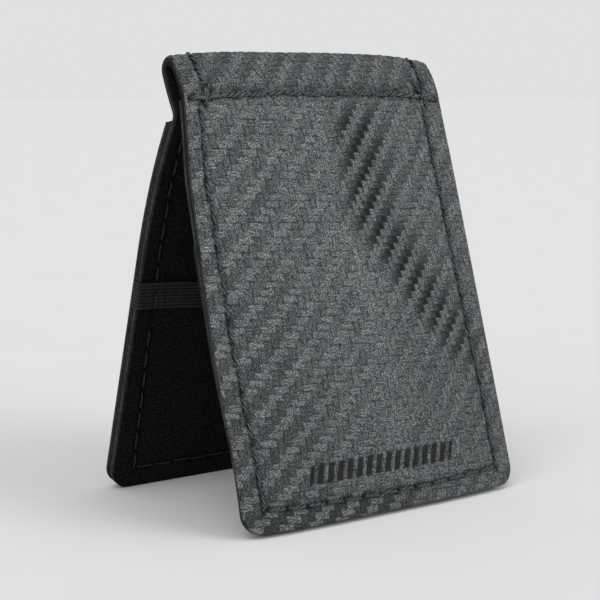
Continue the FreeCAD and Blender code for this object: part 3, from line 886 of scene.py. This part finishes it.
# (depth of the visible face, thickness, side, relief, mesh spacing, materials, insets, slot)
SHEETS = {
    "shell": (0.0, SHELL, -1, embossed(outer_stitches, panel_line, mark=True), GRID, [GRIP, EDGE], (0.0, 0.0),
              "grip_sheet"),
    "lining": (WALL, LINING, 1, soft(rear_seam), SOFT_GRID, [SUEDE, DARK_EDGE], (0.6, 0.0), "lining_suede"),
}
# the stretches of their first and last pieces that a panel or pocket covers
COVERED = {
    ("lining", 0): (0.6, PANEL_TOP - 0.5),
    ("shell", len(hinges)): (REAR_START + 2.0, PATH_END - 0.6),
}


def sheet_over_spine(kind):
    """The shell or the lining, from the front free edge to the rear one."""
    face, thickness, side, relief, step, materials, insets, slot = SHEETS[kind]
    ends = [0.0] + [SPINE_START + c for c in cuts] + [PATH_END]
    for k, (first, last) in enumerate(zip(ends, ends[1:])):
        piece = layer_piece(f"{kind}_{k}", first, last, face, thickness, side, relief, step, (0.0, PATH_END),
                            materials, insets, COVERED.get((kind, k), (0.0, 0.0)))
        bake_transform(piece)
        nodes = [f"front_{kind}"] if k == 0 else [f"spine_{kind}_{k}"]
        if k == len(hinges):
            nodes.append(f"rear_{kind}")
        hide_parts(*nodes)


sheet_over_spine("shell")
sheet_over_spine("lining")


# === panels and pockets ===

def panel(node, body, first, last, face, thickness, side, relief, step, materials, insets,
          hidden=(0.0, 0.0)):
    """One flat panel or pocket of a half, between two free ends."""
    piece = layer_piece(node + "_look", first, last, face, thickness, side, relief, step, (first, last),
                        materials, insets, hidden)
    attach(piece, body)
    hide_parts(node)


panel("front_base_panel", "front_half", 0.0, PANEL_TOP, WALL + BASE_PANEL, BASE_PANEL, 1, soft([]), 0.5,
      [POCKET, EDGE], (1.3, 0.05), (0.6, FRONT_CARD_POCKET_HEIGHT - 1))
panel("front_card_pocket", "front_half", 0.0, FRONT_CARD_POCKET_HEIGHT, WALL + BASE_PANEL + CARD_POCKET,
      CARD_POCKET, 1, soft(card_seam), SOFT_GRID, [POCKET, DARK_EDGE], (2.0, 0.1))
upper_mouth = REAR_START + REAR_UPPER_POCKET_DROP
lower_mouth = PATH_END - REAR_LOWER_POCKET_HEIGHT
panel("rear_upper_pocket", "rear_half", upper_mouth, PATH_END, -REAR_POCKET, REAR_POCKET, -1, embossed([]),
      GRID, [GRIP, DARK_EDGE], (0.1, 0.1), (lower_mouth + 1.5, PATH_END - 0.6))
panel("rear_lower_pocket", "rear_half", lower_mouth, PATH_END, -2 * REAR_POCKET, REAR_POCKET, -1,
      embossed(rear_pocket_seam), GRID, [GRIP, EDGE], (0.0, 0.0))


# === elastic band ===

RIBS = 8
RIB_HEIGHT = 0.22
BAND_SLOPE = 0.044  # the band isn't quite level
BAND_LIFTED_HALF_LENGTH = 20.0  # on the real band this much lifts level and the rest slopes down to the seam; here it only places a point that isn't used


def rear_band_stitches():
    """The stitches that cross the elastic, one at each side."""
    height = BAND_BOTTOM + BAND_WIDTH / 2
    station = PATH_END - height
    margin = SEAM_MARGIN + (REAR_SEAM_TOP_MARGIN - SEAM_MARGIN) * height / REAR_HEIGHT
    x = float(straight_half_width(station)) - margin
    return [(mirror * x, station, 0.0, 1.0, STITCH_LENGTH) for mirror in (-1, 1)]


band_stitches = rear_band_stitches()


def elastic(mirror):
    """Half the band: from the middle out to the edge, round it and down the cut side."""
    middle = PATH_END - BAND_BOTTOM - BAND_WIDTH / 2
    edge = float(straight_half_width(middle)) + 0.12
    half = BAND_THICKNESS / 2
    flat_run = np.linspace(0, edge, 90)
    turn = np.radians(np.linspace(12, 90, 7))
    down = np.linspace(WALL - 0.3, 0.2, 4)
    x = np.concatenate([flat_run, edge + half * np.sin(turn), np.full_like(down, edge + half)])
    depth = np.concatenate([np.full_like(flat_run, WALL + half), WALL + half * np.cos(turn), down])
    out_x = np.concatenate([np.zeros_like(flat_run), np.sin(turn), np.ones_like(down)])
    out_depth = np.concatenate([np.ones_like(flat_run), np.cos(turn), np.zeros_like(down)])
    share = np.linspace(0, 1, RIBS * 9 + 1)
    rib = RIB_HEIGHT * np.abs(np.sin(share * RIBS * math.pi)) ** 0.6
    offset = np.concatenate([[-half * 0.9], half - 0.1 + rib, [-half * 0.9]])
    across = np.concatenate([[0.0], share, [1.0]])
    run = np.concatenate([[0], np.cumsum(np.hypot(np.diff(x), np.diff(depth)))])
    s = PATH_END - BAND_BOTTOM - BAND_WIDTH + across[None, :] * BAND_WIDTH
    s = s + 0.06 * np.sin(run * 0.35 + 1)[:, None]
    px = mirror * (x[:, None] + out_x[:, None] * offset)
    s = s + BAND_SLOPE * px
    pull, dark = lay_relief(px, s + 0 * px, band_stitches, 0.16)
    pull = pull * (offset > 0)
    depth_grid = depth[:, None] + out_depth[:, None] * (offset + pull)
    points = place(px, s, depth_grid).reshape(-1, 3)
    rows, ring = px.shape
    grid = np.arange(rows * ring).reshape(rows, ring)
    after = np.roll(grid, -1, 1)
    quads = np.stack([grid[:-1], after[:-1], after[1:], grid[1:]], -1).reshape(-1, 4)
    cap = grid[-1].tolist()
    if mirror > 0:
        quads = quads[:, ::-1]
        cap = cap[::-1]
    flat = np.stack([mirror * run[:, None] + 0 * px, s + 0 * px, 0 * px], -1).reshape(-1, 3)
    side = "left" if mirror < 0 else "right"
    # painted shade in the grooves between the ribs, along the band's underside edges and where the stitches
    # pull it in
    groove = np.concatenate([[1], 1 - rib / RIB_HEIGHT, [1]])
    piece = mesh_object(f"elastic_{side}", points, quads.tolist() + [cap], flat, [ELASTIC],
                        dark=np.maximum(0.5 * dark, groove + 0 * px).ravel())
    start = place(mirror * (BAND_FREE_HALF_LENGTH - 0.5), middle, WALL)
    end = place(mirror * BAND_LIFTED_HALF_LENGTH, middle, WALL)
    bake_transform(piece)
    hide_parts(f"band_{side}_end", "cash_band")


elastic(-1)
elastic(1)


# === thread ===

def sew(name, body, stitches, face, side, material, nodes, rise=THREAD_RISE, size=1.0):
    """One group of stitches, on the surface at depth face, riding on a body."""
    piece = thread_object(name, stitches, face, side, material, rise, size)
    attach(piece, body)
    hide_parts(*nodes)


sew("front_seam_thread", "front_half", front_seam + link_seam, 0.0, -1, OUTER_THREAD,
    ["front_outer_stitches"], 0.04, 0.85)
sew("top_row_thread", "front_half", top_row, 0.0, -1, OUTER_THREAD, ["top_row_stitches"], 0.1)
for side, stitches in tacks.items():
    sew(f"{side}_backtack_thread", "front_half", stitches, 0.0, -1, OUTER_THREAD, [f"{side}_backtack"], 0.14)
sew("card_pocket_thread", "front_half", card_seam, WALL + BASE_PANEL + CARD_POCKET, 1, INNER_THREAD,
    ["front_pocket_stitches"])
for k, stitches in enumerate(spine_seams, 1):
    sew(f"spine_thread_{k}", f"spine_strip_{k}", stitches, 0.0, -1, OUTER_THREAD,
        [f"spine_stitches_{k}"], 0.06)
sew("rear_pocket_thread", "rear_half", rear_pocket_seam, -2 * REAR_POCKET, -1, OUTER_THREAD,
    ["rear_outer_stitches"], 0.08)

band_top = PATH_END - BAND_BOTTOM - BAND_WIDTH
band_low = PATH_END - BAND_BOTTOM
clear_of_band = [stitch for stitch in rear_seam if not band_top - 2.2 <= stitch[1] <= band_low + 2.2]
sew("rear_seam_thread", "rear_half", clear_of_band, WALL, 1, INNER_THREAD, ["rear_inner_stitches"],
    0.04, 0.52)
sew("band_thread", "rear_half", band_stitches, WALL + BAND_THICKNESS, 1, INNER_THREAD,
    ["rear_inner_stitches"], 0.08, 0.52)


# === stage: floor, light, camera ===

def stage_material():
    g = Graph("stage")
    mottled = g.noise(g.node("ShaderNodeTexCoord").outputs["Object"], 30.0, 3.0)
    colour = g.ramp(mottled, [(0.0, (0.805, 0.805, 0.805)), (1.0, (0.825, 0.825, 0.825))])
    return g.finish(colour, g.bump(mottled, 0.0001, 0.1), 0.9, 0.1)


def floor():
    """A pale level floor that runs out to the horizon."""
    far = 12.0
    points = np.array([(-far, -far, 0.0), (far, -far, 0.0), (far, far, 0.0), (-far, far, 0.0)])
    mesh_object("floor", points, [(0, 1, 2, 3)], points, [stage_material()])


def soft_sun(name, azimuth, elevation, strength, spread):
    """A distant soft light; azimuth 0 is in front and grows to the right, spread is its apparent size."""
    a, e = math.radians(azimuth), math.radians(elevation)
    away = Vector((math.sin(a) * math.cos(e), -math.cos(a) * math.cos(e), math.sin(e)))
    data = bpy.data.lights.new(name, "SUN")
    data.energy, data.angle = strength, math.radians(spread)
    light = bpy.data.objects.new(name, data)
    light.rotation_euler = (-away).to_track_quat("-Z", "Y").to_euler()
    bpy.context.collection.objects.link(light)


CAMERA_AZIMUTH, CAMERA_ELEVATION = -37.1, 7.6  # from straight in front, and above the horizon
CAMERA_DISTANCE, CAMERA_LENS = 0.333, 94.3
AIM = Vector((-0.0053, -0.0038, 0.0421))

floor()
soft_sun("key", -60, 45, 0.9, 50)
soft_sun("top", 0, 80, 0.45, 60)
soft_sun("sheen", 30, 22, 1.35, 40)

# the world lights softly, and shows the camera the floor's own tone so that the horizon can't be seen
PALE = 0.752
world = bpy.data.worlds.new("soft_studio")
world.use_nodes = True
background = world.node_tree.nodes["Background"]
background.inputs["Color"].default_value = (1, 1, 1, 1)
ray = world.node_tree.nodes.new("ShaderNodeLightPath")
strength = world.node_tree.nodes.new("ShaderNodeMapRange")
strength.inputs["To Min"].default_value = 0.45
strength.inputs["To Max"].default_value = PALE
world.node_tree.links.new(ray.outputs["Is Camera Ray"], strength.inputs["Value"])
world.node_tree.links.new(strength.outputs[0], background.inputs["Strength"])
bpy.context.scene.world = world

camera_data = bpy.data.cameras.new("camera")
camera_data.lens = CAMERA_LENS
camera_data.sensor_width = 36.0
camera_data.clip_start = 0.01
camera = bpy.data.objects.new("camera", camera_data)
azimuth, elevation = math.radians(CAMERA_AZIMUTH), math.radians(CAMERA_ELEVATION)
toward = Vector((math.sin(azimuth) * math.cos(elevation), -math.cos(azimuth) * math.cos(elevation),
                 math.sin(elevation)))
camera.location = AIM + toward * CAMERA_DISTANCE
camera.rotation_euler = (-toward).to_track_quat("-Z", "Y").to_euler()
bpy.context.collection.objects.link(camera)
bpy.context.scene.camera = camera
bpy.context.scene.view_settings.view_transform = "Standard"
